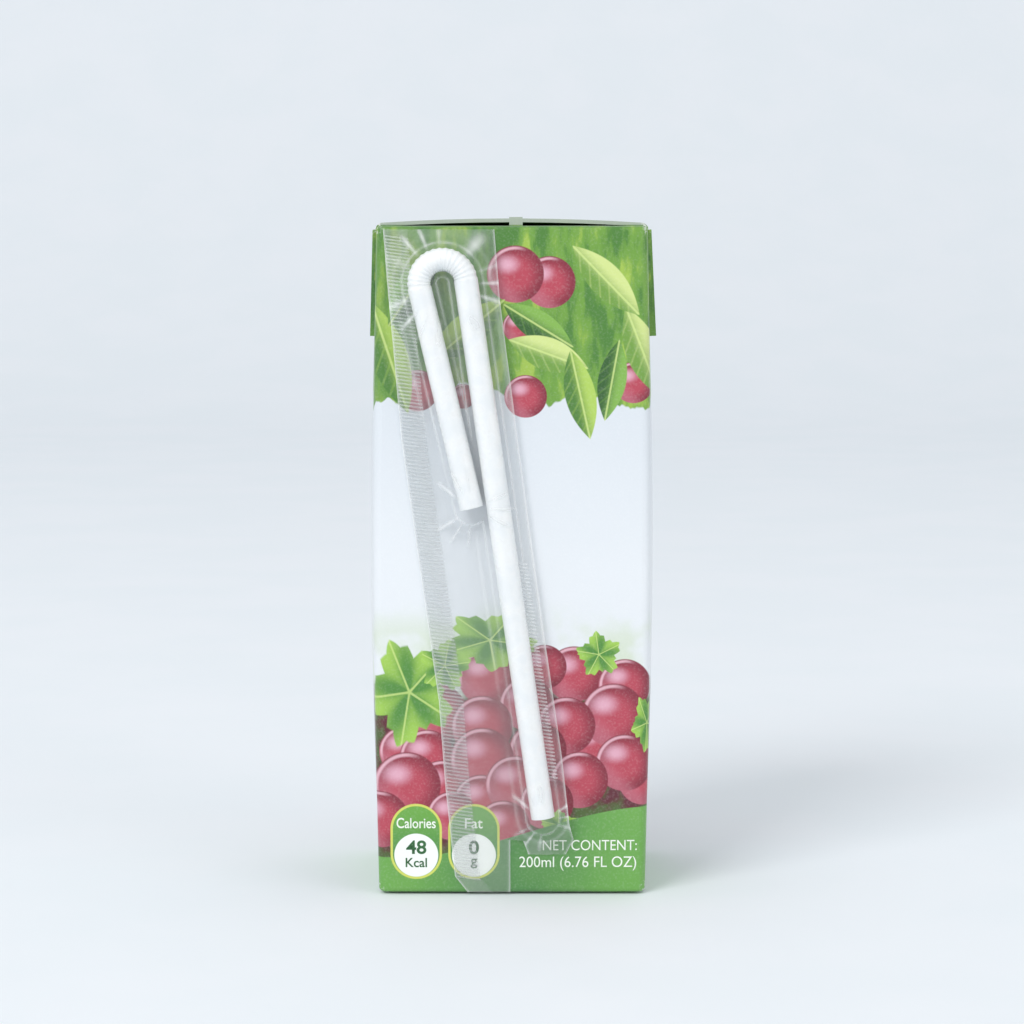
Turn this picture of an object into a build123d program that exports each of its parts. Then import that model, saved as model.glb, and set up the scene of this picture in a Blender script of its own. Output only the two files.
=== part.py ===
from build123d import *
import math
import os

# A slim family juice carton, standing upright, with a bent drinking straw held on its front
# in a clear film sleeve. Millimetres, +Z up, front towards -Y, origin at the middle of the base.

# ---- carton: size between its creases ----
WIDTH = 47.6
DEPTH = 38.0
HEIGHT = 119.0
CORNER_RADIUS = 1.6
EDGE_RADIUS = 0.7

# ---- how far the filled carton swells at mid height ----
CORNER_SWELL = 0.6
FRONT_CROWN = 0.7
SIDE_CROWN = 1.1
END_CROWN = 0.12
SWELL_STATIONS = 8

# ---- folded board ----
BOARD_PLY = 0.55
SEAM_WIDTH = 7.0
SEAM_PLY = 0.3

# ---- top seal, folded flat towards the front ----
FIN_REACH = 8.5
FIN_RISE = 0.75
FIN_ROOT_SINK = 0.4
FIN_BUMP_WIDTH = 2.4
FIN_BUMP_OFFSET = 0.7
FIN_BUMP_RISE = 0.25

# ---- triangular ears, folded down on the narrow sides ----
EAR_INSET = 1.3
EAR_TIP_WIDTH = 1.2
EAR_EMBED = 2.4
EAR_SPLAY_RIGHT = 2.8
EAR_SPLAY_LEFT = 1.6

# ---- punched and sealed spot for the straw, on the rear half of the top ----
SPOT_DIAMETER = 6.5
SPOT_DEPTH = 0.15
SPOT_OFFSET = 12.0
SPOT_BACK = 10.0

# ---- folds under the base ----
BASE_PLY = 0.3
FLAP_INSET = 1.4

# ---- straw ----
STRAW_DIAMETER = 4.2
STRAW_WALL = 0.25
BEND_RADIUS = 4.1
BEND_OFFSET = -12.1
BEND_DROP = 9.9
SHORT_LEG_TILT = 13.2
SHORT_LEG_LENGTH = 39.4
LONG_LEG_TILT = 8.1
LONG_LEG_LENGTH = 96.0
PLEAT_PITCH = 0.8
PLEAT_DEPTH = 0.15

# ---- clear film sleeve ----
FILM_PLY = 0.25
FILM_GAP = 0.15
STRAW_SEAT = 0.2
STRAW_CLEARANCE = 0.12
SLEEVE_WIDTH = 20.4
SLEEVE_MARGIN = 6.9
SLEEVE_SKIRT = 1.5
SLEEVE_END_ROOM = 0.3
SLEEVE_TOP_MARGIN = 0.9
SLEEVE_HEAD = 12.0
SLEEVE_TOE_DROP = 4.6
SLEEVE_TOE_CHAMFER = 1.6
TAIL_WIDTH = 9.9
TAIL_MARGIN = 1.0
TAIL_CHAMFER = 2.4

# ---- worked out from the sizes above ----
FRONT_APEX = DEPTH / 2 + CORNER_SWELL + FRONT_CROWN + END_CROWN
EAR_LENGTH = DEPTH / 2
STRAW_RADIUS = STRAW_DIAMETER / 2
BORE_RADIUS = STRAW_RADIUS - STRAW_WALL
STRAW_AXIS_Y = -(FRONT_APEX + STRAW_SEAT + STRAW_RADIUS)
BEND_HEIGHT = HEIGHT - BEND_DROP
BEND_TURN = 180.0 + SHORT_LEG_TILT - LONG_LEG_TILT
BEND_CENTRE = Vector(BEND_OFFSET, STRAW_AXIS_Y, BEND_HEIGHT)
BEND_AXIS = Axis(BEND_CENTRE, (0, 1, 0))
SLEEVE_DROP = -STRAW_AXIS_Y - DEPTH / 2
SLEEVE_LEAN = LONG_LEG_TILT
TENT_RADIUS = STRAW_RADIUS + STRAW_CLEARANCE + FILM_PLY
TENT_HALF = TENT_RADIUS + SLEEVE_SKIRT


def swell(z):
    """Share of the full swelling at height z: none at the two ends, all of it at mid height."""
    return math.sin(math.pi * min(max(z / HEIGHT, 0.0), 1.0))


def body_section(z, grow=0.0):
    """Closed outline of the filled carton at height z, grown outwards by grow."""
    share = swell(z)
    half_w = WIDTH / 2 + CORNER_SWELL * share + grow
    half_d = DEPTH / 2 + CORNER_SWELL * share + grow
    front_crown = END_CROWN + FRONT_CROWN * share
    side_crown = END_CROWN + SIDE_CROWN * share
    with BuildSketch(Plane.XY.offset(z)) as outline:
        with BuildLine():
            ThreePointArc((-half_w, -half_d), (0, -half_d - front_crown), (half_w, -half_d))
            ThreePointArc((half_w, -half_d), (half_w + side_crown, 0), (half_w, half_d))
            ThreePointArc((half_w, half_d), (0, half_d + front_crown), (-half_w, half_d))
            ThreePointArc((-half_w, half_d), (-half_w - side_crown, 0), (-half_w, -half_d))
        corners = make_face()
        fillet(corners.vertices(), CORNER_RADIUS + grow)
    return outline.sketch


def body_block(low, high, grow=0.0):
    """Loft of the carton's outlines from low to high, as a part of its own."""
    rise = (high - low) / SWELL_STATIONS
    with BuildPart(mode=Mode.PRIVATE) as block:
        loft(sections=[body_section(low + rise * step, grow) for step in range(SWELL_STATIONS + 1)])
    return block.part


def ear(splay):
    """Right-hand ear: a two-ply triangle hinged at the top edge, with the folded seal down its middle."""
    lean = math.radians(splay)
    hinge = Plane(
        origin=(WIDTH / 2, 0, HEIGHT - EDGE_RADIUS),
        x_dir=(0, 1, 0),
        z_dir=(math.cos(lean), 0, math.sin(lean)),
    )
    half_top = DEPTH / 2 - EAR_INSET
    half_tip = EAR_TIP_WIDTH / 2
    with BuildPart(mode=Mode.PRIVATE) as flap:
        with BuildSketch(hinge.offset(-EAR_EMBED)):
            with BuildLine():
                Polyline(
                    (-half_top, 0),
                    (half_top, 0),
                    (half_tip, -EAR_LENGTH),
                    (-half_tip, -EAR_LENGTH),
                    close=True,
                )
            make_face()
        extrude(amount=EAR_EMBED + BOARD_PLY)
        with BuildSketch(hinge):
            Rectangle(FIN_REACH, EAR_LENGTH, align=(Align.MAX, Align.MAX))
        extrude(amount=2 * BOARD_PLY)
        fold = Axis((WIDTH / 2 - EDGE_RADIUS, 0, HEIGHT - EDGE_RADIUS), (0, -1, 0))
        with BuildSketch(Plane(origin=fold.position, x_dir=(1, 0, 0), z_dir=fold.direction)):
            Circle(EDGE_RADIUS + BOARD_PLY)
        extrude(amount=FIN_REACH)
    return flap.part


def fin_outline(reach, rise):
    """Outline of the folded top seal, reach in front of its root, arching up by rise at mid width."""
    half = WIDTH / 2 - EDGE_RADIUS
    base = HEIGHT - FIN_ROOT_SINK if reach == 0 else HEIGHT - END_CROWN
    crest = HEIGHT + BOARD_PLY
    with BuildSketch(Plane.XZ.offset(reach)) as outline:
        with BuildLine():
            ThreePointArc((-half, base), (0, base + rise), (half, base))
            Line((half, base), (half, crest))
            ThreePointArc((half, crest), (0, crest + rise), (-half, crest))
            Line((-half, crest), (-half, base))
        make_face()
    return outline.sketch


def seam_strap():
    """Overlap seam: a strap up the middle of the back and over the rear half of both ends."""
    high = HEIGHT + SEAM_PLY
    strips = []
    for step in range(SWELL_STATIONS + 1):
        z = high * step / SWELL_STATIONS
        back = DEPTH / 2 + END_CROWN + (CORNER_SWELL + FRONT_CROWN) * swell(z) + SEAM_PLY
        with BuildSketch(Plane.XY.offset(z)) as strip:
            Rectangle(SEAM_WIDTH, back, align=(Align.CENTER, Align.MIN))
        strips.append(strip.sketch)
    with BuildPart(mode=Mode.PRIVATE) as strap:
        loft(sections=strips)
        levels = strap.faces().sort_by(Axis.Z)
        fillet(levels[0].edges().sort_by(Axis.Y)[-1], EDGE_RADIUS + BASE_PLY)
        levels = strap.faces().sort_by(Axis.Z)
        fillet(levels[-1].edges().sort_by(Axis.Y)[-1], EDGE_RADIUS + SEAM_PLY)
    return strap.part


def leg_plane(start, tilt):
    """Section plane of a straw leg: local Z runs down the leg, local Y points away from the carton."""
    lean = math.radians(tilt)
    return Plane(
        origin=start,
        x_dir=(math.cos(lean), 0, math.sin(lean)),
        z_dir=(math.sin(lean), 0, -math.cos(lean)),
    )


def bend_plane(turn):
    """Section plane on the bend, turn degrees on from the top of the short leg."""
    angle = math.radians(180.0 + SHORT_LEG_TILT - turn)
    radial = Vector(math.cos(angle), 0, math.sin(angle))
    return Plane(
        origin=BEND_CENTRE + radial * BEND_RADIUS,
        x_dir=radial,
        z_dir=(math.sin(angle), 0, -math.cos(angle)),
    )


def round_section(plane, radius):
    """Round section on a plane of the straw's path."""
    with BuildSketch(plane, mode=Mode.PRIVATE) as section:
        Circle(radius)
    return section.sketch


def channel_section(plane):
    """Room for the straw: a round top, open to the carton behind it."""
    half = STRAW_RADIUS + STRAW_CLEARANCE
    with BuildSketch(plane, mode=Mode.PRIVATE) as section:
        Circle(half)
        Rectangle(2 * half, SLEEVE_DROP, align=(Align.CENTER, Align.MAX))
    return section.sketch


def tent_section(plane, inner_limit):
    """Film drawn tight over the straw and down to the carton, no further in than inner_limit."""
    with BuildSketch(plane, mode=Mode.PRIVATE) as section:
        Circle(TENT_RADIUS)
        with Locations((0, -SLEEVE_DROP)):
            Rectangle(2 * TENT_HALF, FILM_PLY, align=(Align.CENTER, Align.MIN))
        make_hull()
        with Locations((-TENT_HALF, 0)):
            Rectangle(
                TENT_HALF + inner_limit,
                2 * (SLEEVE_DROP + TENT_RADIUS),
                align=(Align.MIN, Align.CENTER),
                mode=Mode.INTERSECT,
            )
    return section.sketch


def sleeve_outline():
    """Front outline of the film sleeve: a leaning band with a closed toe and a tail to the base."""
    lean = math.tan(math.radians(SLEEVE_LEAN))
    top = HEIGHT - SLEEVE_TOP_MARGIN
    toe = LONG_LEG_TIP.Z - SLEEVE_TOE_DROP
    left_top = BEND_OFFSET - BEND_RADIUS - SLEEVE_MARGIN
    right_top = left_top + SLEEVE_WIDTH
    shoulder = top - SLEEVE_HEAD
    left_toe = left_top + (shoulder - toe) * lean
    right_toe = left_toe + SLEEVE_WIDTH
    tail_left = left_toe + SLEEVE_TOE_CHAMFER
    with BuildSketch(Plane.XZ, mode=Mode.PRIVATE) as outline:
        with BuildLine():
            Polyline(
                (left_top, top),
                (right_top, top),
                (right_top, shoulder),
                (right_toe, toe + SLEEVE_TOE_DROP / 2),
                (right_toe - SLEEVE_TOE_CHAMFER, toe),
                (tail_left + TAIL_WIDTH, toe),
                (tail_left + TAIL_WIDTH, TAIL_MARGIN),
                (tail_left + TAIL_CHAMFER, TAIL_MARGIN),
                (tail_left, TAIL_MARGIN + TAIL_CHAMFER),
                (left_top, shoulder),
                close=True,
            )
        make_face()
    return outline.sketch


SHORT_LEG = leg_plane(bend_plane(0).origin, SHORT_LEG_TILT)
LONG_LEG = leg_plane(bend_plane(BEND_TURN).origin, LONG_LEG_TILT)
LEGS = ((SHORT_LEG, SHORT_LEG_LENGTH), (LONG_LEG, LONG_LEG_LENGTH))
LONG_LEG_TIP = LONG_LEG.origin + LONG_LEG.z_dir * LONG_LEG_LENGTH

right_ear = ear(EAR_SPLAY_RIGHT)
left_ear = ear(EAR_SPLAY_LEFT).mirror(Plane.YZ)

with BuildPart() as carton:
    add(body_block(BASE_PLY, HEIGHT))
    ends = carton.faces().filter_by(GeomType.PLANE).sort_by(Axis.Z)
    fillet(ends[0].edges() + ends[-1].edges(), EDGE_RADIUS)
    add(seam_strap())
    add(right_ear)
    add(left_ear)

    # top seal, folded over towards the front and lifting off the panel at its free edge
    loft(sections=[fin_outline(0, END_CROWN), fin_outline(FIN_REACH, FIN_RISE)], ruled=True)

    # small bump where the overlap seam runs through the top seal
    with BuildSketch(Plane.XY.offset(HEIGHT)):
        with Locations((FIN_BUMP_OFFSET, 0)):
            Rectangle(FIN_BUMP_WIDTH, FIN_REACH, align=(Align.CENTER, Align.MAX))
    extrude(amount=BOARD_PLY + FIN_RISE + FIN_BUMP_RISE)

    # sealed spot for the straw
    with BuildSketch(Plane.XY.offset(HEIGHT - SPOT_DEPTH)):
        with Locations((SPOT_OFFSET, SPOT_BACK)):
            Circle(SPOT_DIAMETER / 2)
    extrude(amount=2 * SPOT_DEPTH, mode=Mode.SUBTRACT)

    # folds under the base: the bottom seal across it and the two flaps tucked in from the sides
    with BuildSketch(Plane.XY):
        Rectangle(WIDTH - 2 * FLAP_INSET, FIN_REACH, align=(Align.CENTER, Align.MAX))
        with BuildLine():
            for side in (-1, 1):
                root = side * (WIDTH / 2 - FLAP_INSET)
                half = DEPTH / 2 - FLAP_INSET
                Polyline((root, -half), (root, half), (root - side * half, 0), close=True)
        make_face()
    extrude(amount=BASE_PLY + EDGE_RADIUS)

carton.part.label = "carton"

with BuildPart() as straw:
    for plane, length in LEGS:
        extrude(round_section(plane, STRAW_RADIUS), amount=length)

    # pleated bend: rings of crest and root radius in turn, joined by straight flanks
    half_pleats = 2 * round(math.radians(BEND_TURN) * BEND_RADIUS / PLEAT_PITCH)
    rings = []
    for step in range(half_pleats + 1):
        ring_radius = STRAW_RADIUS - PLEAT_DEPTH * (step % 2)
        rings.append(round_section(bend_plane(BEND_TURN * step / half_pleats), ring_radius))
    loft(sections=rings, ruled=True)

    # bore from end to end
    for plane, length in LEGS:
        extrude(round_section(plane, BORE_RADIUS), amount=length, mode=Mode.SUBTRACT)
    revolve(
        round_section(SHORT_LEG, BORE_RADIUS),
        axis=BEND_AXIS,
        revolution_arc=BEND_TURN,
        mode=Mode.SUBTRACT,
    )

straw.part.label = "straw"

with BuildPart() as film_sleeve:
    # flat margins of the sleeve, following the front panel
    extrude(sleeve_outline(), amount=2 * DEPTH)
    add(body_block(-BASE_PLY, HEIGHT + BASE_PLY, FILM_GAP + FILM_PLY), mode=Mode.INTERSECT)

    # film drawn over the straw's legs and bend
    for plane, length in LEGS:
        extrude(tent_section(plane, TENT_HALF), amount=length + SLEEVE_END_ROOM + FILM_PLY)
    revolve(tent_section(SHORT_LEG, BEND_RADIUS), axis=BEND_AXIS, revolution_arc=BEND_TURN)

    # room for the straw and for the carton behind it
    for plane, length in LEGS:
        extrude(channel_section(plane), amount=length + SLEEVE_END_ROOM, mode=Mode.SUBTRACT)
    revolve(
        channel_section(SHORT_LEG),
        axis=BEND_AXIS,
        revolution_arc=BEND_TURN,
        mode=Mode.SUBTRACT,
    )
    add(body_block(-BASE_PLY, HEIGHT + BASE_PLY, FILM_GAP), mode=Mode.SUBTRACT)

film_sleeve.part.label = "film_sleeve"

os.makedirs("parts", exist_ok=True)
for piece in (carton, straw, film_sleeve):
    export_step(piece.part, f"parts/{piece.part.label}.step")
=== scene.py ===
"""Looks of a shut 200 ml drinks carton with a bendy straw under film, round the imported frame."""

import logging
import math
from dataclasses import dataclass
from enum import Enum

import bpy
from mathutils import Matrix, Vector
from mathutils.bvhtree import BVHTree


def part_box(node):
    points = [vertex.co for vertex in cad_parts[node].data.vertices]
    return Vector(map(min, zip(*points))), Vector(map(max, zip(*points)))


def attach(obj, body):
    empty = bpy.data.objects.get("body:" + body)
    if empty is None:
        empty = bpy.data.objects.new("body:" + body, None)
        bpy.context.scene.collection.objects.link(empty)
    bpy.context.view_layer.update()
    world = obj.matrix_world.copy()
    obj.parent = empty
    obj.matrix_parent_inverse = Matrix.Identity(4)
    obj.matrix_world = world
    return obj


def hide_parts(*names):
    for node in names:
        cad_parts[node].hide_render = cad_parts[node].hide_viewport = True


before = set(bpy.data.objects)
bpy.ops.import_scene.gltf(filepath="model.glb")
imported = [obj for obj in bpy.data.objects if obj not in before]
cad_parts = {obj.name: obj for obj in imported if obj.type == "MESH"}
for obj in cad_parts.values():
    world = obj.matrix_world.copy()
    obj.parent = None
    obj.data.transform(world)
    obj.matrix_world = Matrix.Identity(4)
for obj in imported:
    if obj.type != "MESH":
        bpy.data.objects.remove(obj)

LOG = logging.getLogger("carton_scene")
MM = 0.001
BODY = "root"
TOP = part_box("carton")[1][2] / MM
HAZE_AND_HIGHLIGHT = "haze_and_highlight"
SRGB_TOE, SRGB_TOE_SLOPE, SRGB_OFFSET, SRGB_POWER = 0.04045, 12.92, 0.055, 2.4
Colour = tuple[float, float, float, float]
Value = bpy.types.NodeSocket | float
Tint = bpy.types.NodeSocket | Colour
Knots = tuple[tuple[float, float], ...]


def srgb(red: int, green: int, blue: int) -> Colour:
    """Turns a display colour into a linear one.

    Args:
        red: Red from 0 to 255.
        green: Green from 0 to 255.
        blue: Blue from 0 to 255.

    Returns:
        The linear colour with full alpha.
    """
    linear = []
    for channel in (red / 255, green / 255, blue / 255):
        if channel <= SRGB_TOE:
            linear.append(channel / SRGB_TOE_SLOPE)
        else:
            linear.append(((channel + SRGB_OFFSET) / (1 + SRGB_OFFSET)) ** SRGB_POWER)
    return (*linear, 1.0)


class Slot(Enum):
    """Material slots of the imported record."""

    BOARD = "printed_board"
    STRAW = "straw_plastic"
    FILM = "clear_film"


class Graph:
    """Short calls that add and join nodes in one shader tree."""

    def __init__(self, tree: bpy.types.NodeTree) -> None:
        """Keeps the tree that the calls add to."""
        self.tree = tree

    def add(self, kind: str, **settings: object) -> bpy.types.Node:
        """Adds a node and sets its properties.

        Args:
            kind: The node's type name.
            settings: Properties to set on it, by name.

        Returns:
            The new node.
        """
        node = self.tree.nodes.new(kind)
        for name, value in settings.items():
            setattr(node, name, value)
        return node

    def feed(self, socket: bpy.types.NodeSocket, value: object) -> None:
        """Links a socket into an input, or sets the input to a plain value.

        Args:
            socket: The input to fill.
            value: A socket to link, or a plain value.
        """
        if isinstance(value, bpy.types.NodeSocket):
            self.tree.links.new(value, socket)
        else:
            socket.default_value = value

    def math(self, operation: str, *values: Value) -> bpy.types.NodeSocket:
        """Adds a Math node.

        Args:
            operation: What the node works out.
            values: Sockets or numbers for its inputs, in order.

        Returns:
            The node's result.
        """
        node = self.add("ShaderNodeMath", operation=operation)
        for socket, value in zip(node.inputs, values):
            self.feed(socket, value)
        return node.outputs[0]

    def step(self, value: Value, start: Value, end: Value) -> bpy.types.NodeSocket:
        """Runs smoothly from 0 at one number to 1 at another.

        Args:
            value: The number to read.
            start: Where the result is 0.
            end: Where the result is 1.

        Returns:
            The share from 0 to 1.
        """
        node = self.add("ShaderNodeMapRange", interpolation_type="SMOOTHSTEP")
        for socket, given in zip(node.inputs, (value, start, end)):
            self.feed(socket, given)
        return node.outputs[0]

    def mix(self, share: Value, first: Tint, second: Tint) -> bpy.types.NodeSocket:
        """Lays one colour over another.

        Args:
            share: How much of the second colour shows.
            first: The colour beneath.
            second: The colour on top.

        Returns:
            The mixed colour.
        """
        node = self.add("ShaderNodeMix", data_type="RGBA")
        for index, given in ((0, share), (6, first), (7, second)):
            self.feed(node.inputs[index], given)
        return node.outputs[2]

    def noise(
        self, vector: bpy.types.NodeSocket, scale: float, detail: float = 3.0
    ) -> bpy.types.NodeSocket:
        """Adds a noise texture.

        Args:
            vector: Where to read it, in millimetres.
            scale: How many features lie in a millimetre.
            detail: How many finer layers it has.

        Returns:
            The noise value.
        """
        node = self.add("ShaderNodeTexNoise")
        self.feed(node.inputs["Vector"], vector)
        node.inputs["Scale"].default_value = scale
        node.inputs["Detail"].default_value = detail
        return node.outputs[0]

    def hypot(self, across: Value, along: Value) -> bpy.types.NodeSocket:
        """Returns the length of a two-part vector."""
        squares = self.math("ADD", self.times(across, across), self.times(along, along))
        return self.math("SQRT", squares)

    def times(self, *factors: Value) -> bpy.types.NodeSocket:
        """Multiplies sockets and numbers.

        Args:
            factors: What to multiply.

        Returns:
            The product.
        """
        result = factors[0]
        for factor in factors[1:]:
            result = self.math("MULTIPLY", result, factor)
        return result


class PrintMotif:
    """A shader node group that lays one printed shape over the colour beneath it."""

    ORDER_SHARE = 1e-5

    def __init__(self, name: str, numbers: tuple[str, ...], colours: tuple[str, ...] = ()) -> None:
        """Builds the group's sockets and its inner nodes.

        Args:
            name: The group's name.
            numbers: Names of its number inputs.
            colours: Names of its extra colour inputs.
        """
        self.tree = bpy.data.node_groups.new(name, "ShaderNodeTree")
        for label in ("Under", *colours):
            self.tree.interface.new_socket(label, in_out="INPUT", socket_type="NodeSocketColor")
        for label in ("U", "V", *numbers):
            self.tree.interface.new_socket(label, in_out="INPUT", socket_type="NodeSocketFloat")
        self.tree.interface.new_socket("Colour", in_out="OUTPUT", socket_type="NodeSocketColor")
        self.graph = Graph(self.tree)
        self.inputs = self.graph.add("NodeGroupInput").outputs
        # A tiny share of the colour beneath makes the shapes work out one after another,
        # so that the shader needs little room at a time.
        order = self.graph.math("MULTIPLY", self.inputs["Under"], self.ORDER_SHARE)
        self.du = self.graph.math(
            "SUBTRACT", self.graph.math("ADD", self.inputs["U"], order), self.inputs["Centre U"]
        )
        self.dv = self.graph.math(
            "SUBTRACT", self.graph.math("ADD", self.inputs["V"], order), self.inputs["Centre V"]
        )
        self.graph.feed(self.graph.add("NodeGroupOutput").inputs["Colour"], self.draw())

    def draw(self) -> bpy.types.NodeSocket:
        """Returns the group's colour."""
        raise NotImplementedError

    def lay(
        self, graph: Graph, under: Tint, at: tuple[Value, Value], spot: "Spot", **values: object
    ) -> bpy.types.NodeSocket:
        """Uses the group once in a material.

        Args:
            graph: The material's graph.
            under: The colour beneath.
            at: Place across and height on the panel, in millimetres.
            spot: Where the shape lies.
            values: The group's other inputs, with underscores for spaces.

        Returns:
            The colour with the shape laid on it.
        """
        node = graph.add("ShaderNodeGroup", node_tree=self.tree)
        places = {"U": at[0], "V": at[1], "Centre_U": spot.u, "Centre_V": spot.v}
        for label, value in {"Under": under, **places, **values}.items():
            graph.feed(node.inputs[label.replace("_", " ")], value)
        return node.outputs[0]


class GrapeMotif(PrintMotif):
    """A round grape with a soft shine and a pale rim arc."""

    DARK, MID, LIGHT = srgb(128, 34, 54), srgb(180, 66, 84), srgb(206, 118, 136)
    SHINE, RIM = srgb(232, 186, 206), srgb(240, 192, 206)
    OVERLAP = 1.14

    def __init__(self) -> None:
        """Names the grape's inputs."""
        super().__init__("print_grape", ("Centre U", "Centre V", "Radius"))

    def draw(self) -> bpy.types.NodeSocket:
        """Shades the grape from its dark rim to its shine.

        Returns:
            The grape laid over the colour beneath.
        """
        g, radius = self.graph, self.inputs["Radius"]
        across, along = g.math("DIVIDE", self.du, radius), g.math("DIVIDE", self.dv, radius)
        reach = g.hypot(across, along)
        colour = g.mix(g.step(reach, 0.35, 1.0), self.MID, self.DARK)
        glow = g.step(g.math("ADD", across, along), -0.2, -1.1)
        colour = g.mix(g.times(glow, 0.55), colour, self.LIGHT)
        shine = g.hypot(
            g.math("ADD", across, 0.30), g.times(g.math("SUBTRACT", along, 0.34), 1.35)
        )
        colour = g.mix(g.times(g.step(shine, 0.62, 0.05), 0.75), colour, self.SHINE)
        lean = g.step(g.math("SUBTRACT", along, across), 0.35, 1.0)
        arc = g.times(g.step(reach, 0.82, 0.90), g.step(reach, 0.99, 0.92), lean)
        colour = g.mix(g.times(arc, 0.75), colour, self.RIM)
        return g.mix(g.step(reach, 1.02, 0.97), self.inputs["Under"], colour)


class BladeMotif(PrintMotif):
    """A plain pointed leaf with a midrib."""

    MIDRIB, RIBS, RIB_SLANT = srgb(206, 226, 140), 22.0, 9.0

    def __init__(self) -> None:
        """Names the leaf's inputs."""
        super().__init__(
            "print_blade",
            ("Centre U", "Centre V", "Half Length", "Half Width", "Turn"),
            ("Light", "Dark"),
        )

    def draw(self) -> bpy.types.NodeSocket:
        """Shades the leaf's two halves, its ribs and its midrib.

        Returns:
            The leaf laid over the colour beneath.
        """
        g, turn = self.graph, self.inputs["Turn"]
        cosine, sine = g.math("COSINE", turn), g.math("SINE", turn)
        run = g.math("ADD", g.times(self.du, cosine), g.times(self.dv, sine))
        side = g.math("SUBTRACT", g.times(self.dv, cosine), g.times(self.du, sine))
        run = g.math("DIVIDE", run, self.inputs["Half Length"])
        side = g.math("DIVIDE", side, self.inputs["Half Width"])
        edge = g.math("SUBTRACT", 1.0, g.times(run, run))
        mask = g.step(g.math("SUBTRACT", edge, g.math("ABSOLUTE", side)), 0.0, 0.08)
        colour = g.mix(g.step(side, -0.5, 0.6), self.inputs["Dark"], self.inputs["Light"])
        off_rib = g.math("ABSOLUTE", side)
        slant = g.math("ADD", g.times(run, self.RIBS), g.times(off_rib, -self.RIB_SLANT))
        ribs = g.times(g.step(g.math("SINE", slant), 0.6, 1.0), 0.22)
        colour = g.mix(ribs, colour, self.inputs["Light"])
        colour = g.mix(g.times(g.step(off_rib, 0.09, 0.03), 0.7), colour, self.MIDRIB)
        return g.mix(mask, self.inputs["Under"], colour)


class VineLeafMotif(PrintMotif):
    """A lobed, toothed vine leaf with five veins."""

    DARK, LIGHT, VEIN = srgb(76, 136, 52), srgb(158, 200, 82), srgb(196, 220, 128)
    LOBES, LOBE_DEPTH, TEETH, HEART = 5.0, 0.13, 5.2, 0.74

    def __init__(self) -> None:
        """Names the vine leaf's inputs."""
        super().__init__(
            "print_vine_leaf", ("Centre U", "Centre V", "Half Width", "Half Height", "Turn")
        )

    def draw(self) -> bpy.types.NodeSocket:
        """Shades the leaf within its lobed and toothed rim.

        Returns:
            The leaf laid over the colour beneath.
        """
        g = self.graph
        across = g.math("DIVIDE", self.du, self.inputs["Half Width"])
        along = g.math("DIVIDE", self.dv, self.inputs["Half Height"])
        reach = g.hypot(across, along)
        angle = g.math("ADD", g.math("ARCTAN2", along, across), self.inputs["Turn"])
        lobes = g.times(g.math("COSINE", g.times(angle, self.LOBES)), self.LOBE_DEPTH)
        teeth = g.times(g.math("PINGPONG", g.times(angle, self.TEETH), 1.0), self.LOBE_DEPTH)
        rim = g.math("ADD", g.math("ADD", lobes, teeth), self.HEART)
        mask = g.step(g.math("SUBTRACT", rim, reach), 0.0, 0.05)
        fold = g.times(g.math("SINE", g.times(angle, self.LOBES)), 0.3)
        tone = g.step(g.math("ADD", fold, reach), 0.1, 1.1)
        colour = g.mix(tone, self.DARK, self.LIGHT)
        vein = g.times(g.math("ABSOLUTE", g.math("SINE", g.times(angle, self.LOBES / 2))), reach)
        colour = g.mix(g.times(g.step(vein, 0.07, 0.02), 0.75), colour, self.VEIN)
        return g.mix(mask, self.inputs["Under"], colour)


class CapsuleMotif(PrintMotif):
    """An upright nutrition capsule with a bright outline and a white disc in its lower half."""

    HALF_WIDTH, HALF_HEIGHT, OUTLINE, DISC, DISC_DROP = 4.65, 6.9, 0.42, 4.0, 2.5

    def __init__(self) -> None:
        """Names the capsule's inputs."""
        super().__init__("print_capsule", ("Centre U", "Centre V"))

    def draw(self) -> bpy.types.NodeSocket:
        """Fills the capsule, its outline and its disc.

        Returns:
            The capsule laid over the colour beneath.
        """
        g = self.graph
        straight = self.HALF_HEIGHT - self.HALF_WIDTH
        past = g.math("SUBTRACT", g.math("ABSOLUTE", self.dv), straight)
        rise = g.math("MAXIMUM", past, 0.0)
        edge = g.math("SUBTRACT", self.HALF_WIDTH, g.hypot(self.du, rise))
        fill = g.mix(g.step(self.dv, -5.0, 6.0), srgb(66, 132, 70), srgb(104, 166, 66))
        colour = g.mix(g.step(edge, self.OUTLINE, self.OUTLINE + 0.12), srgb(206, 214, 96), fill)
        disc = g.hypot(self.du, g.math("ADD", self.dv, self.DISC_DROP))
        colour = g.mix(g.step(disc, self.DISC, self.DISC - 0.15), colour, srgb(244, 248, 244))
        return g.mix(g.step(edge, 0.0, 0.12), self.inputs["Under"], colour)


@dataclass(frozen=True)
class Spot:
    """A place and size on the front panel, in millimetres from its middle and the base."""

    u: float
    v: float
    wide: float
    high: float = 0.0
    turn: float = 0.0


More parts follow.
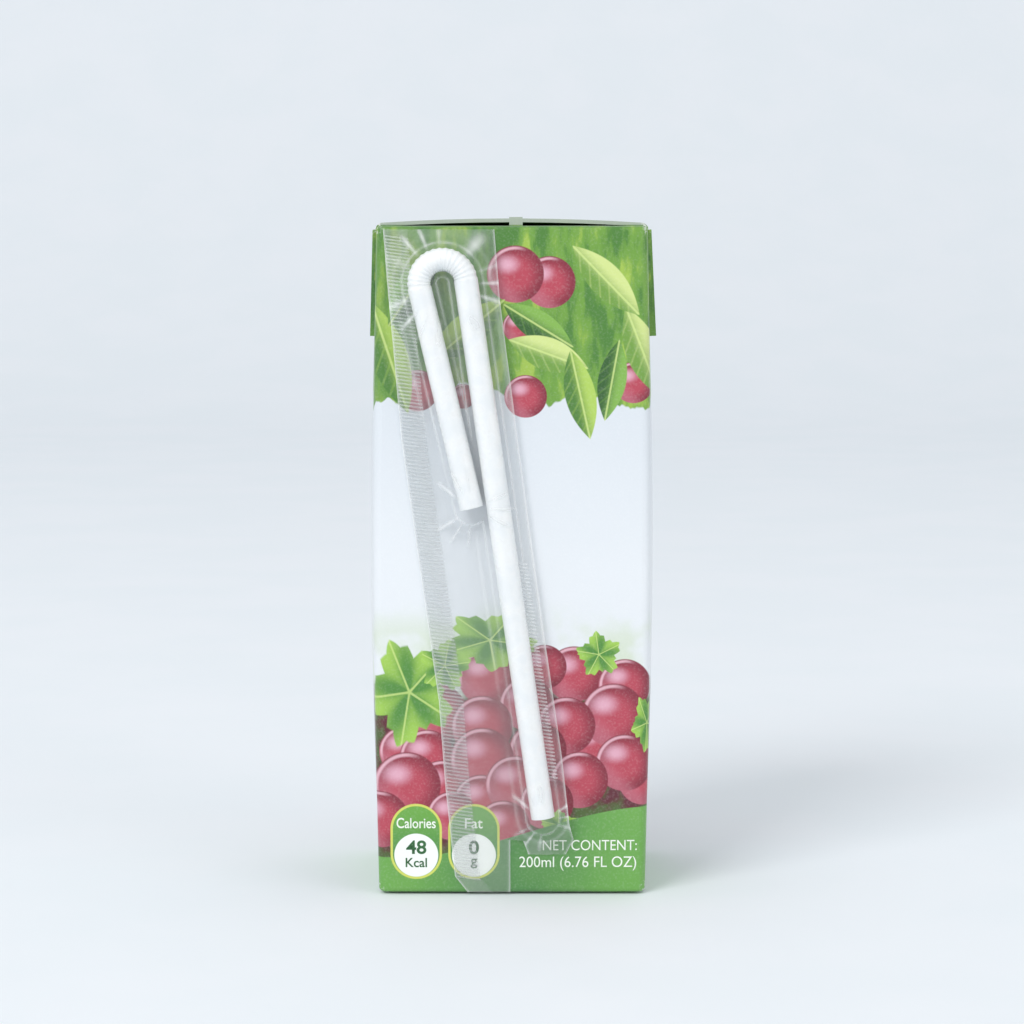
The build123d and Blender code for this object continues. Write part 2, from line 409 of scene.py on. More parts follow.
@dataclass(frozen=True)
class FrontArt:
    """Where the shapes of the print lie on a large panel."""

    top_edge: float = 83.0
    tatter: float = 12.0
    streak_tilt: float = math.radians(38)
    streak_squeeze: float = 0.28
    heap_top: float = 42.5
    foot_low: float = 6.7
    foot_rise: float = 9.3
    low_grapes: tuple[Spot, ...] = (
        Spot(11, 39.9, 4.4), Spot(20, 37.9, 4.1), Spot(5.7, 41.2, 3.5), Spot(-4.6, 39.4, 4.4),
        Spot(-13.2, 32.9, 4.6), Spot(2.6, 34.6, 4.2), Spot(14.8, 27.0, 4.3), Spot(18, 32.5, 5),
        Spot(9.6, 30.6, 4.6), Spot(-5.3, 30.6, 4.8), Spot(-19.2, 26, 3.9), Spot(-15.1, 25, 4.3),
        Spot(4.6, 26.2, 4.5), Spot(23.5, 20.8, 4), Spot(20, 23.9, 4.5), Spot(-12.4, 19.6, 4.2),
        Spot(-5.3, 24.6, 5), Spot(-18.7, 19.8, 5.3), Spot(12.0, 20.8, 4.5), Spot(-23.5, 13.6, 4.5),
        Spot(-5.6, 17.0, 4.2), Spot(0.5, 20, 4.6), Spot(-10.7, 14.3, 3.9), Spot(6.2, 16.6, 4.2),
        Spot(-1.6, 12.2, 4.3),
    )
    high_grapes: tuple[Spot, ...] = (
        Spot(6.6, 109.2, 4.0), Spot(0.6, 110.6, 4.4), Spot(1.2, 101.4, 2.5),
        Spot(-16.6, 90.2, 3.2), Spot(-8.6, 89.2, 1.9), Spot(2.4, 89.2, 3.3), Spot(21.4, 91.6, 3.2),
    )
    vine_leaves: tuple[Spot, ...] = (
        Spot(-18.2, 36.6, 8.8, 10.6, 0.5), Spot(-3.9, 46, 9.2, 5.9, 0.2),
        Spot(-11.9, 41.4, 5.0, 5.0, 1.1), Spot(15.4, 43.4, 4.4, 4.4, 0.8),
        Spot(24.0, 31, 3.0, 5.6, 0.4), Spot(8.4, 12.6, 3.6, 3.0, 0.9),
    )
    blades: tuple[Spot, ...] = (
        Spot(-21.5, 96, 10.5, 3.4, -1.25), Spot(4.6, 101.6, 7.4, 2.7, -0.55),
        Spot(6.4, 96.6, 7.6, 3.0, -0.35), Spot(12.0, 89.5, 8.2, 2.8, -1.35),
        Spot(17.6, 92.0, 7.4, 2.6, -1.75), Spot(23.0, 97.0, 8.6, 3.1, -1.2),
        Spot(-8.0, 100.5, 9.0, 3.2, 0.7), Spot(-17.5, 108.0, 8.0, 3.0, 1.0),
        Spot(16.5, 109.5, 8.6, 3.0, -0.8),
    )
    capsules: tuple[Spot, ...] = (Spot(-17.1, 9.6, 0), Spot(-6.8, 9.6, 0))


@dataclass(frozen=True)
class BoardFinish:
    """The printed, lightly coated board."""

    art: FrontArt = FrontArt()
    roughness: float = 0.34
    coat: float = 0.25
    coat_roughness: float = 0.22
    bump: float = 0.06
    leaf_tones: tuple[tuple[Colour, Colour], ...] = (
        (srgb(172, 204, 92), srgb(74, 124, 48)),
        (srgb(128, 176, 76), srgb(44, 92, 36)),
        (srgb(206, 222, 140), srgb(110, 154, 62)),
    )

    def field(self, g: Graph, point: Value, u: Value, v: Value) -> tuple[Value, Value, Value]:
        """Lays the print's large fields: foliage above, a pale middle and a green foot.

        Args:
            g: The material's graph.
            point: The place in millimetres.
            u: Place across the panel in millimetres.
            v: Height on the panel in millimetres.

        Returns:
            The fields' colour, the foot's mask and the foot's colour.
        """
        pale = g.mix(g.step(v, 92.0, 54.0), srgb(216, 222, 228), srgb(228, 232, 236))
        pale = g.mix(g.times(g.noise(point, 0.05), 0.25), pale, srgb(204, 212, 219))
        mist = g.times(g.step(v, 54.0, 44.0), g.step(g.noise(point, 0.11), 0.36, 0.60))
        pale = g.mix(g.times(mist, 0.45), pale, srgb(186, 206, 150))
        gaps = g.step(g.noise(point, 0.30), 0.38, 0.62)
        behind = g.mix(gaps, srgb(92, 30, 44), srgb(74, 96, 44))
        heap = g.math("ADD", v, g.times(g.noise(point, 0.2), 8.0))
        heap = g.step(heap, self.art.heap_top, self.art.heap_top - 3.5)
        colour = g.mix(heap, pale, behind)
        foot = g.math(
            "ADD", self.art.foot_low, g.times(g.step(u, -20.0, 26.0), self.art.foot_rise)
        )
        outward = g.step(g.math("ABSOLUTE", u), 2.0, 22.0)
        band = g.mix(outward, srgb(66, 126, 70), srgb(100, 162, 72))
        band = g.mix(g.times(g.noise(point, 0.14), 0.35), band, srgb(126, 178, 84))
        foot_mask = g.step(g.math("SUBTRACT", foot, v), -0.1, 0.1)
        streak = g.add("ShaderNodeMapping")
        g.feed(streak.inputs["Vector"], point)
        streak.inputs["Rotation"].default_value = (0.0, self.art.streak_tilt, 0.0)
        streak.inputs["Scale"].default_value = (1.0, 1.0, self.art.streak_squeeze)
        blades = g.noise(streak.outputs[0], 0.34, 5.0)
        green = g.mix(g.step(blades, 0.36, 0.50), srgb(72, 126, 46), srgb(108, 156, 58))
        green = g.mix(g.step(blades, 0.52, 0.66), green, srgb(158, 190, 74))
        shade = g.times(g.step(u, 10.0, -16.0), 0.35)
        green = g.mix(shade, green, srgb(70, 116, 60))
        tatter = g.times(g.noise(streak.outputs[0], 0.22), self.art.tatter)
        ragged = g.math("ADD", self.art.top_edge, tatter)
        whole = g.mix(g.step(g.math("SUBTRACT", v, ragged), -0.25, 0.25), colour, green)
        return whole, foot_mask, band

    def art_over(
        self, g: Graph, colour: Tint, at: tuple[Value, Value], foot: list[Value]
    ) -> bpy.types.NodeSocket:
        """Lays the leaves, grapes, foot band and capsules over the fields.

        Args:
            g: The material's graph.
            colour: The fields' colour.
            at: Place across and height on the panel, in millimetres.
            foot: The foot's mask and colour, and the height that the capsules are read at.

        Returns:
            The whole print of a large panel.
        """
        grape, blade, vine, capsule = GrapeMotif(), BladeMotif(), VineLeafMotif(), CapsuleMotif()
        for spot in self.art.high_grapes:
            colour = grape.lay(g, colour, at, spot, Radius=spot.wide * GrapeMotif.OVERLAP)
        for index, spot in enumerate(self.art.blades):
            light, dark = self.leaf_tones[index % len(self.leaf_tones)]
            sizes = {"Half_Length": spot.wide, "Half_Width": spot.high, "Turn": spot.turn}
            colour = blade.lay(g, colour, at, spot, Light=light, Dark=dark, **sizes)
        for spot in self.art.low_grapes:
            colour = grape.lay(g, colour, at, spot, Radius=spot.wide * GrapeMotif.OVERLAP)
        for spot in self.art.vine_leaves:
            sizes = {"Half_Width": spot.wide, "Half_Height": spot.high, "Turn": spot.turn}
            colour = vine.lay(g, colour, at, spot, **sizes)
        colour = g.mix(foot[0], colour, foot[1])
        for spot in self.art.capsules:
            colour = capsule.lay(g, colour, (at[0], foot[2]), spot)
        return colour

    def build(self) -> bpy.types.Material:
        """Builds the material, with the large art on the front and back only.

        Returns:
            The finished material.
        """
        material = bpy.data.materials.new("printed_board")
        material.use_nodes = True
        g = Graph(material.node_tree)
        shader = material.node_tree.nodes["Principled BSDF"]
        coordinates = g.add("ShaderNodeTexCoord")
        scaled = g.add("ShaderNodeVectorMath", operation="SCALE")
        g.feed(scaled.inputs[0], coordinates.outputs["Object"])
        scaled.inputs["Scale"].default_value = 1 / MM
        point = scaled.outputs[0]
        place, facing = g.add("ShaderNodeSeparateXYZ"), g.add("ShaderNodeSeparateXYZ")
        g.feed(place.inputs[0], point)
        g.feed(facing.inputs[0], coordinates.outputs["Normal"])
        x, y, z = place.outputs
        rear = g.math("GREATER_THAN", y, 0.0)
        u = g.times(x, g.math("SUBTRACT", 1.0, g.times(rear, 2.0)))
        flank = g.math("SUBTRACT", 1.0, g.step(g.math("ABSOLUTE", y), 17.0, 17.6))
        base, *foot = self.field(g, point, u, z)
        foot.append(g.math("ADD", z, g.times(rear, TOP)))
        front = self.art_over(g, base, (u, z), foot)
        side = g.mix(foot[0], base, foot[1])
        colour = g.mix(flank, front, side)
        top = g.step(z, TOP - 2.1, TOP - 1.5)
        colour = g.mix(g.times(top, 0.55), colour, srgb(82, 128, 62))
        forward = g.step(facing.outputs[1], -0.45, -0.8)
        rim = g.times(forward, g.step(z, TOP - 1.5, TOP - 1.3))
        colour = g.mix(g.times(rim, 0.85), colour, srgb(196, 202, 198))
        below = g.step(z, 0.35, 0.15)
        colour = g.mix(below, colour, srgb(206, 210, 206))
        ends = g.math("MAXIMUM", g.step(z, 3.2, 0.8), g.step(z, 116.6, 118.8))
        corner = g.times(g.step(g.math("ABSOLUTE", x), 22.6, 23.8), ends)
        scuff = g.times(corner, g.step(g.noise(point, 1.6, 5.0), 0.52, 0.60))
        colour = g.mix(g.times(scuff, 0.8), colour, srgb(238, 240, 238))
        fibre = g.noise(point, 2.6, 4.0)
        colour = g.mix(g.times(g.step(fibre, 0.45, 0.75), 0.06), colour, srgb(255, 255, 255))
        g.feed(shader.inputs["Base Color"], colour)
        g.feed(
            shader.inputs["Roughness"], g.math("ADD", self.roughness - 0.05, g.times(fibre, 0.1))
        )
        shader.inputs["Coat Weight"].default_value = self.coat
        shader.inputs["Coat Roughness"].default_value = self.coat_roughness
        bump = g.add("ShaderNodeBump")
        bump.inputs["Strength"].default_value = self.bump
        bump.inputs["Distance"].default_value = 0.2 * MM
        swell = g.times(g.noise(point, 0.12), 3.0)
        g.feed(bump.inputs["Height"], g.math("ADD", g.noise(point, 0.9, 4.0), swell))
        g.feed(shader.inputs["Normal"], bump.outputs[0])
        return material


@dataclass(frozen=True)
class PlasticFinish:
    """White satin plastic of the straw, or plain printed ink."""

    name: str
    colour: Colour
    second: Colour
    roughness: float = 0.3
    scale: float = 0.4

    def build(self) -> bpy.types.Material:
        """Builds the material with its faint cloudy variation.

        Returns:
            The finished material.
        """
        material = bpy.data.materials.new(self.name)
        material.use_nodes = True
        g = Graph(material.node_tree)
        shader = material.node_tree.nodes["Principled BSDF"]
        scaled = g.add("ShaderNodeVectorMath", operation="SCALE")
        g.feed(scaled.inputs[0], g.add("ShaderNodeTexCoord").outputs["Object"])
        scaled.inputs["Scale"].default_value = 1 / MM
        cloud = g.step(g.noise(scaled.outputs[0], self.scale, 4.0), 0.35, 0.65)
        g.feed(shader.inputs["Base Color"], g.mix(cloud, self.colour, self.second))
        g.feed(shader.inputs["Roughness"], g.math("ADD", self.roughness, g.times(cloud, 0.06)))
        return material


@dataclass(frozen=True)
class FilmFinish:
    """Clear film: a thin veil that turns whiter at grazing angles and a little milkier in its
    seals. Its creases carry painted highlights that make it whiter and more opaque.
    """

    name: str
    veil: float
    crease_and_highlight: float = 0.75
    grazing: float = 0.35
    roughness: float = 0.16

    def build(self) -> bpy.types.Material:
        """Builds the material as a veil mixed with plain transparency.

        Returns:
            The finished material.
        """
        material = bpy.data.materials.new(self.name)
        material.use_nodes = True
        g = Graph(material.node_tree)
        nodes = material.node_tree.nodes
        shader, output = nodes["Principled BSDF"], nodes["Material Output"]
        scaled = g.add("ShaderNodeVectorMath", operation="SCALE")
        g.feed(scaled.inputs[0], g.add("ShaderNodeTexCoord").outputs["Object"])
        scaled.inputs["Scale"].default_value = 1 / MM
        # Painted highlights: the sheet's attribute lifts the film towards white where its creases,
        # edges and the straw's outline would catch light, and a little in the milky seal band.
        haze_and_highlight = g.add("ShaderNodeAttribute", attribute_name=HAZE_AND_HIGHLIGHT).outputs["Fac"]
        ripple = g.noise(scaled.outputs[0], 0.45, 3.0)
        g.feed(shader.inputs["Base Color"], g.mix(haze_and_highlight, srgb(238, 242, 242), srgb(254, 255, 255)))
        g.feed(
            shader.inputs["Roughness"], g.math("ADD", self.roughness - 0.03, g.times(ripple, 0.06))
        )
        shader.inputs["Specular IOR Level"].default_value = 0.9
        bump = g.add("ShaderNodeBump")
        bump.inputs["Strength"].default_value = 0.35
        bump.inputs["Distance"].default_value = 0.3 * MM
        g.feed(bump.inputs["Height"], ripple)
        g.feed(shader.inputs["Normal"], bump.outputs[0])
        fresnel = g.add("ShaderNodeFresnel")
        fresnel.inputs["IOR"].default_value = 1.45
        # The same painted highlights also make the veil more opaque there.
        share = g.math("ADD", self.veil, g.times(haze_and_highlight, self.crease_and_highlight))
        share = g.math("ADD", share, g.times(fresnel.outputs[0], self.grazing))
        blend = g.add("ShaderNodeMixShader")
        g.feed(blend.inputs[0], g.math("MINIMUM", share, 0.92))
        g.feed(blend.inputs[1], g.add("ShaderNodeBsdfTransparent").outputs[0])
        g.feed(blend.inputs[2], shader.outputs[0])
        g.feed(output.inputs["Surface"], blend.outputs[0])
        return material


@dataclass(frozen=True)
class CartonSkin:
    """The carton's printed board and the height of its front surface, in millimetres."""

    node: bpy.types.Object
    tree: BVHTree
    reach_x: float = 22.0
    low_z: float = 1.6
    high_z: float = 117.4
    start_y: float = -60.0

    @classmethod
    def over(cls, node: bpy.types.Object) -> "CartonSkin":
        """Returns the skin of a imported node."""
        return cls(node, BVHTree.FromObject(node, bpy.context.evaluated_depsgraph_get()))

    def dress(self) -> bpy.types.Object:
        """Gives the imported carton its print.

        Returns:
            The carton's node.
        """
        self.node.data.materials.clear()
        self.node.data.materials.append(BoardFinish().build())
        return self.node

    def front_y(self, x: float, z: float) -> float:
        """Finds the front surface, held just inside the panel's edges.

        Args:
            x: Place across the panel in millimetres.
            z: Height in millimetres.

        Returns:
            The surface's y in millimetres.
        """
        inside_x = max(min(x, self.reach_x), -self.reach_x)
        inside_z = max(min(z, self.high_z), self.low_z)
        start = Vector((inside_x, self.start_y, inside_z)) * MM
        return self.tree.ray_cast(start, Vector((0.0, 1.0, 0.0)))[0].y / MM


@dataclass(frozen=True)
class StrawPath:
    """The folded straw's centre line across the front, in millimetres."""

    centre_x: float = -12.1
    centre_z: float = 109.1
    bend: float = 4.1
    axis_y: float = -22.72
    short_tilt: float = math.radians(13.2)
    short_length: float = 39.4
    long_tilt: float = math.radians(8.1)
    long_length: float = 96.0

    def legs(self) -> tuple[tuple[Vector, Vector], ...]:
        """Places both legs from the bend's middle.

        Returns:
            Each leg's two ends, the short leg first.
        """
        middle = Vector((self.centre_x, self.centre_z))
        ends = []
        for way, tilt, length in (
            (-1, self.short_tilt, self.short_length), (1, self.long_tilt, self.long_length)
        ):
            start = middle + way * self.bend * Vector((math.cos(tilt), math.sin(tilt)))
            ends.append((start, start + length * Vector((math.sin(tilt), -math.cos(tilt)))))
        return tuple(ends)

    def distance(self, x: float, z: float) -> float:
        """Measures how far a place on the front is from the centre line.

        Args:
            x: Place across the panel in millimetres.
            z: Height in millimetres.

        Returns:
            The distance in millimetres.
        """
        place = Vector((x, z))
        found = []
        for start, end in self.legs():
            run = end - start
            share = max(0.0, min(1.0, (place - start).dot(run) / run.dot(run)))
            found.append((place - start - share * run).length)
        if z > self.centre_z:
            found.append(abs(math.hypot(x - self.centre_x, z - self.centre_z) - self.bend))
        return min(found)


@dataclass(frozen=True)
class FilmSheet:
    """The clear film drawn over the straw, its tail and its toe seal, in millimetres."""

    skin: CartonSkin
    path: StrawPath
    left: Knots = (
        (0.4, -7.9), (3.3, -10.2), (20.0, -11.9), (35.2, -13.0), (81.5, -19.5), (118.4, -22.6)
    )
    right: Knots = (
        (10.0, 11.0), (13.2, 10.2), (25.0, 8.9), (47.8, 5.6), (81.2, 1.1), (106.0, -2.1),
        (118.4, -3.1),
    )
    tail_right: Knots = ((0.4, -0.3), (10.0, -0.3))
    toe_left: Knots = ((7.3, 2.9), (10.0, 2.0))
    toe_right: Knots = ((7.3, 9.6), (10.0, 11.0))
    tube: float = 2.32
    slope: float = 0.86
    cling: float = 0.14
    spare: float = 0.05
    crease_rise: float = 0.22
    seal: float = 4.4
    front_most: float = -25.12

    @staticmethod
    def edge(knots: Knots, z: float) -> float:
        """Reads an edge of the film at a height.

        Args:
            knots: Heights and the edge's x at each.
            z: Height in millimetres.

        Returns:
            The edge's x in millimetres.
        """
        for (low, first), (high, second) in zip(knots, knots[1:]):
            if z <= high:
                return first + (second - first) * max(0.0, z - low) / (high - low)
        return knots[-1][1]

    def spikes(self, x: float, z: float) -> float:
        """Tells how sharply the film is creased near the bend and the straw's tips.

        Args:
            x: Place across the panel in millimetres.
            z: Height in millimetres.

        Returns:
            The crease from 0 to 1.
        """
        total = 0.0
        for centre, count, near, far in (
            (Vector((self.path.centre_x, self.path.centre_z)), 13, 6.0, 11.5),
            (self.path.legs()[0][1], 9, 2.4, 8.0),
            (self.path.legs()[1][1], 9, 2.4, 7.0),
        ):
            away = Vector((x, z)) - centre
            reach = away.length
            if not near < reach < far:
                continue
            turn = math.atan2(away.y, away.x)
            spoke = abs(math.cos(count * turn / 2 + 1.3 * math.sin(3 * turn)))
            fade = math.sin(math.pi * (reach - near) / (far - near))
            total += fade * spoke**14 * (0.35 + 0.65 * abs(math.sin(2.7 * turn + far)))
        return min(1.0, total)

    def lift(self, x: float, z: float) -> tuple[float, float]:
        """Drapes the film over the straw and down to the panel.

        Args:
            x: Place across the panel in millimetres.
            z: Height in millimetres.

        Returns:
            The film's y in millimetres and its share of painted highlight.
        """
        away = self.path.distance(x, z)
        knee = self.tube / math.sqrt(2)
        if away < knee:
            tent = self.path.axis_y - math.sqrt(self.tube**2 - away**2)
        else:
            tent = self.path.axis_y - knee + (away - knee) * self.slope
        crease_and_highlight = self.spikes(x, z)
        wave = 0.05 * math.sin(0.9 * z + 0.7 * x) + 0.04 * math.sin(2.1 * x - 0.35 * z)
        rest = self.skin.front_y(
            x, z
        ) - self.cling - self.spare - abs(wave) - self.crease_rise * crease_and_highlight
        # Painted highlights: brighter, more opaque film stands in for the lamps' glints. It lies
        # on the creases round the bend and the straw's tips, and in two lines along the straw.
        haze_and_highlight = 0.62 * crease_and_highlight
        haze_and_highlight += 0.34 * math.exp(-(((away - 3.0) / 0.22) ** 2)) * (
            0.4 + 0.6 * abs(math.sin(0.11 * z + x))
        )
        haze_and_highlight += 0.20 * math.exp(-(((away - 4.6) / 0.35) ** 2)) * abs(math.sin(0.07 * z + 1.0))
        return max(min(tent, rest), self.front_most), haze_and_highlight

    def rows(
        self, left: Knots, right: Knots, low: float, high: float, count: int, columns: int
    ) -> tuple[list[Vector], list[tuple[int, ...]], list[float]]:
        """Builds one part of the film between two edges.

        Args:
            left: The left edge.
            right: The right edge.
            low: The lowest height.
            high: The highest height.
            count: How many rows of faces.
            columns: How many faces in a row.

        Returns:
            The part's vertices, faces and shares of painted highlight and seal haze.
        """
        points, hazes_and_highlights = [], []
        for row in range(count + 1):
            z = low + (high - low) * row / count
            first, last = self.edge(left, z), self.edge(right, z)
            for column in range(columns + 1):
                x = first + (last - first) * column / columns
                y, haze_and_highlight = self.lift(x, z)
                border = min(x - first, last - x)
                # Painted highlight along both edges of the film; the seal band by the left edge is
                # a little milkier for real.
                haze_and_highlight += 0.45 * math.exp(-((border / 0.28) ** 2))
                haze_and_highlight += 0.10 if x - first < self.seal else 0.0
                points.append(Vector((x, y, z)) * MM)
                hazes_and_highlights.append(min(1.0, haze_and_highlight))
        wide = columns + 1
        faces = []
        for row in range(count):
            for column in range(columns):
                here = row * wide + column
                faces.append((here, here + 1, here + wide + 1, here + wide))
        return points, faces, hazes_and_highlights

    def build(self) -> bpy.types.Object:
        """Builds the film in three parts and dresses it.

        Returns:
            The film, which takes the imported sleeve's place.
        """
        points, faces, hazes_and_highlights = [], [], []
        for part in (
            (self.left, self.right, 10.0, 118.4, 420, 84),
            (self.left, self.tail_right, 0.4, 10.0, 40, 30),
            (self.toe_left, self.toe_right, 7.3, 10.0, 12, 30),
        ):
            more, squares, part_hazes_and_highlights = self.rows(*part)
            start = len(points)
            points += more
            hazes_and_highlights += part_hazes_and_highlights
            faces += [tuple(start + corner for corner in square) for square in squares]
        mesh = bpy.data.meshes.new("film_sheet")
        mesh.from_pydata(points, [], faces)
        # The attribute carries the painted highlights and the milkier seal into the film's finish.
        mesh.attributes.new(HAZE_AND_HIGHLIGHT, "FLOAT", "POINT").data.foreach_set("value", hazes_and_highlights)
        mesh.shade_smooth()
        mesh.materials.append(FilmFinish("clear_film", veil=0.10).build())
        film = bpy.data.objects.new("film_sheet", mesh)
        bpy.context.collection.objects.link(film)
        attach(film, BODY)
        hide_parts("film_sleeve")
        return film


@dataclass(frozen=True)
class CrimpBand:
    """A row of fine pressed ribs along a film seal, laid out by Geometry Nodes."""

    name: str
    low: float
    high: float
    inset: float
    length: float
    pitch: float = 0.65
    tilt: float = math.radians(8)
    thickness: float = 0.10
    share: float = 0.46
    steps: int = 60
    proud: float = 0.02

    def spine(self, sheet: FilmSheet) -> bpy.types.Object:
        """Lays out the band's middle line as a mesh of edges.

        Args:
            sheet: The film that the ribs are pressed in.

        Returns:
            The object that holds the line.
        """
        points = []
        for index in range(self.steps + 1):
            z = self.low + (self.high - self.low) * index / self.steps
            x = sheet.edge(sheet.left if self.inset > 0 else sheet.right, z) + self.inset
            points.append(Vector((x, sheet.lift(x, z)[0] - self.proud, z)) * MM)
        mesh = bpy.data.meshes.new(self.name)
        mesh.from_pydata(points, [(i, i + 1) for i in range(self.steps)], [])
        holder = bpy.data.objects.new(self.name, mesh)
        bpy.context.collection.objects.link(holder)
        return holder

    def tree(self, material: bpy.types.Material) -> bpy.types.NodeTree:
        """Builds the node tree that repeats the rib along the line.

        Args:
            material: The ribs' finish.

        Returns:
            The node tree.
        """
        tree = bpy.data.node_groups.new(f"{self.name}_nodes", "GeometryNodeTree")
        tree.interface.new_socket("Geometry", in_out="INPUT", socket_type="NodeSocketGeometry")
        tree.interface.new_socket("Pitch", in_out="INPUT", socket_type="NodeSocketFloat")
        tree.interface.new_socket("Geometry", in_out="OUTPUT", socket_type="NodeSocketGeometry")
        add, link = tree.nodes.new, tree.links.new
        start, end = add("NodeGroupInput"), add("NodeGroupOutput")
        curve, resample = add("GeometryNodeMeshToCurve"), add("GeometryNodeResampleCurve")
        resample.mode = "LENGTH"
        points, rib = add("GeometryNodeCurveToPoints"), add("GeometryNodeMeshCube")
        points.mode = "EVALUATED"
        size = Vector((self.length, self.thickness, self.pitch * self.share)) * MM
        rib.inputs["Size"].default_value = size
        place, realize = add("GeometryNodeInstanceOnPoints"), add("GeometryNodeRealizeInstances")
        paint = add("GeometryNodeSetMaterial")
        place.inputs["Rotation"].default_value = (0.0, self.tilt, 0.0)
        paint.inputs["Material"].default_value = material
        link(start.outputs["Geometry"], curve.inputs["Mesh"])
        link(curve.outputs[0], resample.inputs["Curve"])
        link(start.outputs["Pitch"], resample.inputs["Length"])
        link(resample.outputs[0], points.inputs["Curve"])
        link(points.outputs["Points"], place.inputs["Points"])
        link(rib.outputs["Mesh"], place.inputs["Instance"])
        link(place.outputs[0], realize.inputs[0])
        link(realize.outputs[0], paint.inputs["Geometry"])
        link(paint.outputs[0], end.inputs[0])
        return tree

    def build(self, sheet: FilmSheet, material: bpy.types.Material) -> bpy.types.Object:
        """Builds the ribs and turns them into a plain mesh.

        Args:
            sheet: The film that the ribs are pressed in.
            material: The ribs' finish.

        Returns:
            The ribs.
        """
        holder = self.spine(sheet)
        tree = self.tree(material)
        modifier = holder.modifiers.new("ribs", "NODES")
        modifier.node_group = tree
        pitch = next(item.identifier for item in tree.interface.items_tree if item.name == "Pitch")
        modifier[pitch] = self.pitch * MM
        holder.update_tag()
        evaluated = holder.evaluated_get(bpy.context.evaluated_depsgraph_get())
        ribs = bpy.data.meshes.new_from_object(evaluated)
        holder.modifiers.clear()
        holder.data = ribs
        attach(holder, BODY)
        return holder


BANDS = (
    CrimpBand("crimp_long", 3.0, 117.0, 2.3, 4.2),
    CrimpBand("crimp_inner", 22.0, 60.0, -2.0, 1.7),
)


@dataclass(frozen=True)
class Label:
    """One printed line of lettering and the room it fills, in millimetres."""

    name: str
    words: str
    left: float
    right: float
    low: float
    high: float
    white: bool
    weight: float = 0.0
    lift: float = 0.035

    def build(self, skin: CartonSkin, ink: bpy.types.Material) -> bpy.types.Object:
        """Builds the lettering and lays it on the front panel.

        Args:
            skin: The carton's surface.
            ink: The lettering's finish.

        Returns:
            The lettering.
        """
        curve = bpy.data.curves.new(self.name, "FONT")
        curve.body, curve.offset, curve.resolution_u = self.words, self.weight, 6
        holder = bpy.data.objects.new(f"{self.name}_curve", curve)
        bpy.context.collection.objects.link(holder)
        evaluated = holder.evaluated_get(bpy.context.evaluated_depsgraph_get())
        mesh = bpy.data.meshes.new_from_object(evaluated)
        bpy.data.objects.remove(holder)
        xs, ys = [v.co.x for v in mesh.vertices], [v.co.y for v in mesh.vertices]
        low_x, low_y = min(xs), min(ys)
        wide = (self.right - self.left) / (max(xs) - low_x)
        tall = (self.high - self.low) / (max(ys) - low_y)
        for vertex in mesh.vertices:
            x = self.left + (vertex.co.x - low_x) * wide
            z = self.low + (vertex.co.y - low_y) * tall
            vertex.co = Vector((x, skin.front_y(x, z) - self.lift, z)) * MM
        mesh.materials.clear()
        mesh.materials.append(ink)
        piece = bpy.data.objects.new(self.name, mesh)
        bpy.context.collection.objects.link(piece)
        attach(piece, BODY)
        return piece


LABELS = (
    Label("print_calories", "Calories", -20.6, -13.6, 12.0, 13.9, True, 0.012),
    Label("print_calories_count", "48", -18.9, -15.3, 7.3, 9.8, False, 0.02),
    Label("print_calories_unit", "Kcal", -19.0, -15.2, 4.9, 6.6, False, 0.012),
    Label("print_fat", "Fat", -8.4, -5.2, 12.0, 13.9, True, 0.012),
    Label("print_fat_count", "0", -7.7, -5.9, 7.3, 9.8, False, 0.02),
    Label("print_fat_unit", "g", -7.4, -6.2, 4.7, 6.5, False, 0.012),
    Label("print_content", "NET CONTENT:", 5.5, 22.3, 8.0, 9.9, True),
    Label("print_volume", "200ml (6.76 FL OZ)", 1.3, 22.2, 4.3, 6.9, True),
)


@dataclass(frozen=True)
class Lamp:
    """A soft square lamp: its place and size in metres, and its power in watts."""

    name: str
    place: tuple[float, float, float]
    size: float
    power: float


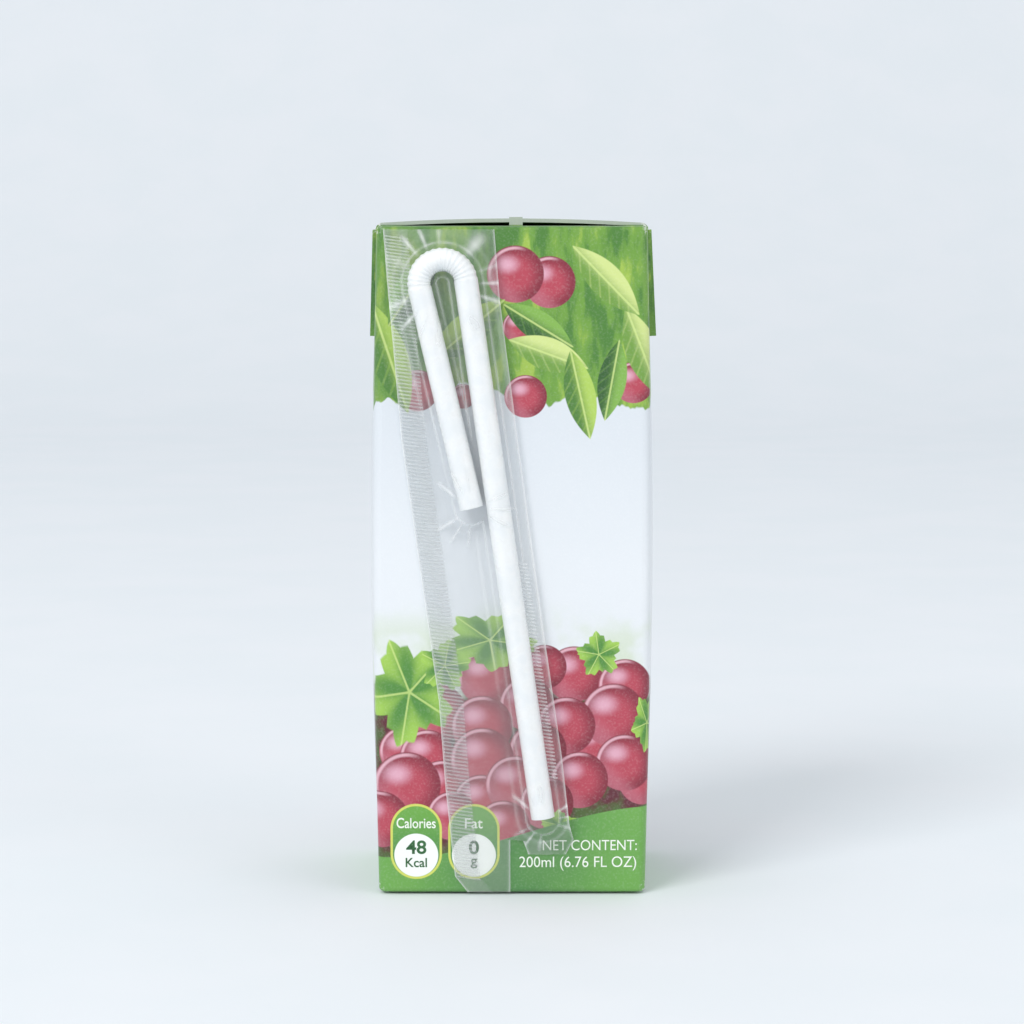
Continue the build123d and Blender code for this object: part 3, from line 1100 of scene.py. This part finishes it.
@dataclass(frozen=True)
class Studio:
    """Floor, backdrop, lamps, world and camera, in metres."""

    camera_place: tuple[float, float, float] = (0.0, -0.5441, 0.1211)
    camera_pitch: float = math.radians(84.3)
    lens: float = 105.0
    sensor: float = 36.0
    lamps: tuple[Lamp, ...] = (
        Lamp("key", (-1.2, -1.7, 1.7), 1.1, 31.0),
        Lamp("fill", (1.7, -1.3, 0.9), 1.4, 7.0),
    )
    aim_height: float = 0.06
    sky: Colour = (0.985, 0.99, 1.0, 1.0)
    sky_strength: float = 0.73
    half_width: float = 2.2
    front: float = -2.2
    back: float = 1.1
    sweep: float = 0.8
    wall_top: float = 2.4
    sweep_steps: int = 24
    floor_drop: float = 0.0001

    def backdrop(self) -> bpy.types.Object:
        """Builds the floor that curves up behind the object.

        Returns:
            The floor.
        """
        profile = [(self.front, 0.0)]
        for index in range(self.sweep_steps + 1):
            angle = math.pi / 2 * index / self.sweep_steps
            out, up = math.sin(angle), 1 - math.cos(angle)
            profile.append((self.back + self.sweep * out, self.sweep * up))
        profile.append((self.back + self.sweep, self.wall_top))
        sides = (-self.half_width, self.half_width)
        points = [(x, y, z - self.floor_drop) for y, z in profile for x in sides]
        faces = [(2 * i, 2 * i + 1, 2 * i + 3, 2 * i + 2) for i in range(len(profile) - 1)]
        mesh = bpy.data.meshes.new("floor")
        mesh.from_pydata(points, [], faces)
        mesh.shade_smooth()
        shades = srgb(233, 239, 244), srgb(235, 240, 245)
        finish = PlasticFinish("floor_paper", *shades, roughness=0.75, scale=0.02)
        mesh.materials.append(finish.build())
        floor = bpy.data.objects.new("floor", mesh)
        bpy.context.collection.objects.link(floor)
        return floor

    def hang(self, lamp: Lamp) -> None:
        """Adds a soft lamp aimed at the middle of the carton.

        Args:
            lamp: The lamp to add.
        """
        light = bpy.data.lights.new(lamp.name, "AREA")
        light.size, light.energy = lamp.size, lamp.power
        holder = bpy.data.objects.new(lamp.name, light)
        holder.location = lamp.place
        aim = Vector((0.0, 0.0, self.aim_height)) - holder.location
        holder.rotation_euler = aim.to_track_quat("-Z", "Y").to_euler()
        bpy.context.collection.objects.link(holder)

    def light(self) -> None:
        """Adds the world and the lamps."""
        world = bpy.data.worlds.new("studio")
        world.use_nodes = True
        background = world.node_tree.nodes["Background"]
        background.inputs["Color"].default_value = self.sky
        background.inputs["Strength"].default_value = self.sky_strength
        bpy.context.scene.world = world
        for lamp in self.lamps:
            self.hang(lamp)

    def camera(self) -> None:
        """Adds the camera."""
        data = bpy.data.cameras.new("camera")
        data.lens, data.sensor_width = self.lens, self.sensor
        holder = bpy.data.objects.new("camera", data)
        holder.location = self.camera_place
        holder.rotation_euler = (self.camera_pitch, 0.0, 0.0)
        bpy.context.collection.objects.link(holder)
        bpy.context.scene.camera = holder
        bpy.context.scene.view_settings.view_transform = "Standard"


def main() -> None:
    """Builds every piece in order and reports it."""
    logging.basicConfig(level=logging.INFO)
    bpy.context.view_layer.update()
    skin = CartonSkin.over(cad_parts["carton"])
    LOG.info("dressed %s", skin.dress().name)
    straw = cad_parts["straw"]
    straw.data.materials.clear()
    straw_shades = srgb(250, 251, 251), srgb(243, 246, 248)
    straw.data.materials.append(PlasticFinish("straw_plastic", *straw_shades, 0.26).build())
    LOG.info("dressed %s", straw.name)
    sheet = FilmSheet(skin, StrawPath())
    LOG.info("built %s", sheet.build().name)
    rib_finish = FilmFinish("film_rib", veil=0.17, grazing=0.4).build()
    for band in BANDS:
        LOG.info("built %s", band.build(sheet, rib_finish).name)
    white = PlasticFinish("ink_white", srgb(240, 246, 236), srgb(230, 240, 226), 0.4)
    dark = PlasticFinish("ink_green", srgb(40, 92, 50), srgb(52, 106, 60), 0.4)
    inks = {True: white.build(), False: dark.build()}
    for label in LABELS:
        LOG.info("built %s", label.build(skin, inks[label.white]).name)
    studio = Studio()
    LOG.info("built %s", studio.backdrop().name)
    studio.light()
    studio.camera()


if __name__ == "__main__":
    main()
